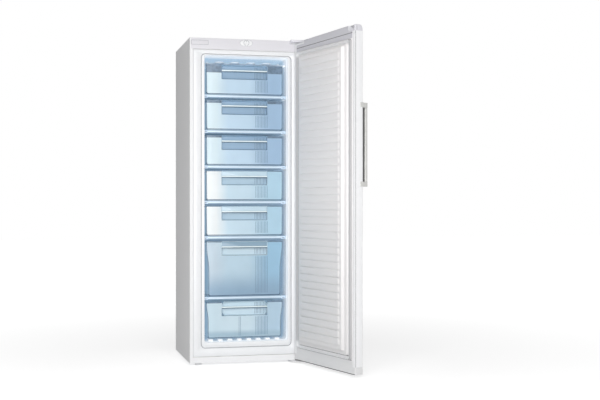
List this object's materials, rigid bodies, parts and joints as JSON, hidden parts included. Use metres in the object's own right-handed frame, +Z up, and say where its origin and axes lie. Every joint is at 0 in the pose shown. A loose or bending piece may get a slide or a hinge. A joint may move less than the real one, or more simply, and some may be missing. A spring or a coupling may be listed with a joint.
{
  "type": "upright freezer",
  "caption": "Tall free-standing freezer with a right-hinged insulated door, pull-out drawers on evaporator shelves, a thermostat dial and a rear compressor.",
  "frame": {"origin": "middle of the bounding box on the floor, with the door open as in the picture", "axes": "+Z up, +X to the right of someone facing the cabinet, +Y from the front of the cabinet to its back"},
  "size_m": [0.7912, 1.1606, 1.7],
  "materials": {
    "case_white": "satin",
    "liner_white": "satin",
    "fascia_grey": "satin",
    "cap_grey": "satin",
    "drawer_blue": "gloss",
    "tub_clear": "gloss",
    "shelf_ice": "satin",
    "tube_white": "satin",
    "black_paint": "satin",
    "galvanised": "satin",
    "copper": "satin",
    "brushed": "satin",
    "rubber": "matte",
    "seal": "matte",
    "foam": "matte",
    "dark_plastic": "matte",
    "white_plastic": "satin"
  },
  "bodies": {
    "cabinet": {"side_panel_left": "case_white", "side_panel_right": "case_white", "top_panel": "case_white", "back_panel": "galvanised", "cabinet_foam": "foam", "inner_liner": "liner_white", "control_fascia": "fascia_grey", "plinth": "case_white", "base_pan": "galvanised", "cord_gland": "rubber", "thermostat_bezel": "white_plastic", "thermostat_body": "dark_plastic", "blanking_plate": "fascia_grey", "top_hinge": "fascia_grey", "bottom_hinge": "galvanised", "condenser": "black_paint", "compressor": "black_paint", "start_relay": "white_plastic", "filter_drier": "copper", "evaporator_top": "tube_white", "evaporator_shelf_1": "tube_white", "shelf_trim_1": "shelf_ice", "evaporator_shelf_2": "tube_white", "shelf_trim_2": "shelf_ice", "evaporator_shelf_3": "tube_white", "shelf_trim_3": "shelf_ice", "evaporator_shelf_4": "tube_white", "shelf_trim_4": "shelf_ice", "evaporator_shelf_5": "tube_white", "shelf_trim_5": "shelf_ice", "evaporator_shelf_6": "tube_white", "shelf_trim_6": "shelf_ice"},
    "door": {"door_panel": "case_white", "door_liner": "liner_white", "door_foam": "foam", "door_cap_top": "cap_grey", "door_cap_bottom": "cap_grey", "door_gasket": "seal", "handle_bar": "brushed", "handle_bracket_bottom": "brushed", "handle_bracket_top": "brushed"},
    "drawer_1": {"drawer_tub_1": "tub_clear", "drawer_front_1": "drawer_blue"},
    "drawer_2": {"drawer_tub_2": "tub_clear", "drawer_front_2": "drawer_blue"},
    "drawer_3": {"drawer_tub_3": "tub_clear", "drawer_front_3": "drawer_blue"},
    "drawer_4": {"drawer_tub_4": "tub_clear", "drawer_front_4": "drawer_blue"},
    "drawer_5": {"drawer_tub_5": "tub_clear", "drawer_front_5": "drawer_blue"},
    "drawer_6": {"drawer_tub_6": "tub_clear", "drawer_front_6": "drawer_blue"},
    "drawer_7": {"drawer_tub_7": "tub_clear", "drawer_front_7": "drawer_blue"},
    "dial": {"thermostat_knob": "white_plastic"},
    "foot_left": {"foot_left": "rubber"},
    "foot_right": {"foot_right": "rubber"},
    "roller_left": {"roller_left": "white_plastic"},
    "roller_right": {"roller_right": "white_plastic"}
  },
  "joints": [
    {"name": "door_hinge", "type": "hinge", "parent": "cabinet", "child": "door", "pos_m": [0.18437, -0.01466, 0.0523], "axis": [0, 0, 1], "range_deg": [-105, 20]},
    {"name": "drawer_slide_1", "type": "slide", "parent": "cabinet", "child": "drawer_1", "axis": [0, -1, 0], "range_m": [0, 0.34]},
    {"name": "drawer_slide_2", "type": "slide", "parent": "cabinet", "child": "drawer_2", "axis": [0, -1, 0], "range_m": [0, 0.34]},
    {"name": "drawer_slide_3", "type": "slide", "parent": "cabinet", "child": "drawer_3", "axis": [0, -1, 0], "range_m": [0, 0.34]},
    {"name": "drawer_slide_4", "type": "slide", "parent": "cabinet", "child": "drawer_4", "axis": [0, -1, 0], "range_m": [0, 0.34]},
    {"name": "drawer_slide_5", "type": "slide", "parent": "cabinet", "child": "drawer_5", "axis": [0, -1, 0], "range_m": [0, 0.34]},
    {"name": "drawer_slide_6", "type": "slide", "parent": "cabinet", "child": "drawer_6", "axis": [0, -1, 0], "range_m": [0, 0.34]},
    {"name": "drawer_slide_7", "type": "slide", "parent": "cabinet", "child": "drawer_7", "axis": [0, -1, 0], "range_m": [0, 0.18]},
    {"name": "dial_turn", "type": "hinge", "parent": "cabinet", "child": "dial", "pos_m": [-0.09863, 0.01229, 1.68], "axis": [0, 1, 0], "range_deg": [0, 270]},
    {"name": "foot_left_screw", "type": "slide", "parent": "cabinet", "child": "foot_left", "axis": [0, 0, -1], "range_m": [0, 0.012]},
    {"name": "foot_right_screw", "type": "slide", "parent": "cabinet", "child": "foot_right", "axis": [0, 0, -1], "range_m": [0, 0.012]},
    {"name": "roller_left_spin", "type": "hinge", "parent": "cabinet", "child": "roller_left", "pos_m": [-0.34563, 0.53834, 0.015], "axis": [1, 0, 0], "continuous": true},
    {"name": "roller_right_spin", "type": "hinge", "parent": "cabinet", "child": "roller_right", "pos_m": [0.15437, 0.53834, 0.015], "axis": [1, 0, 0], "continuous": true}
  ]
}
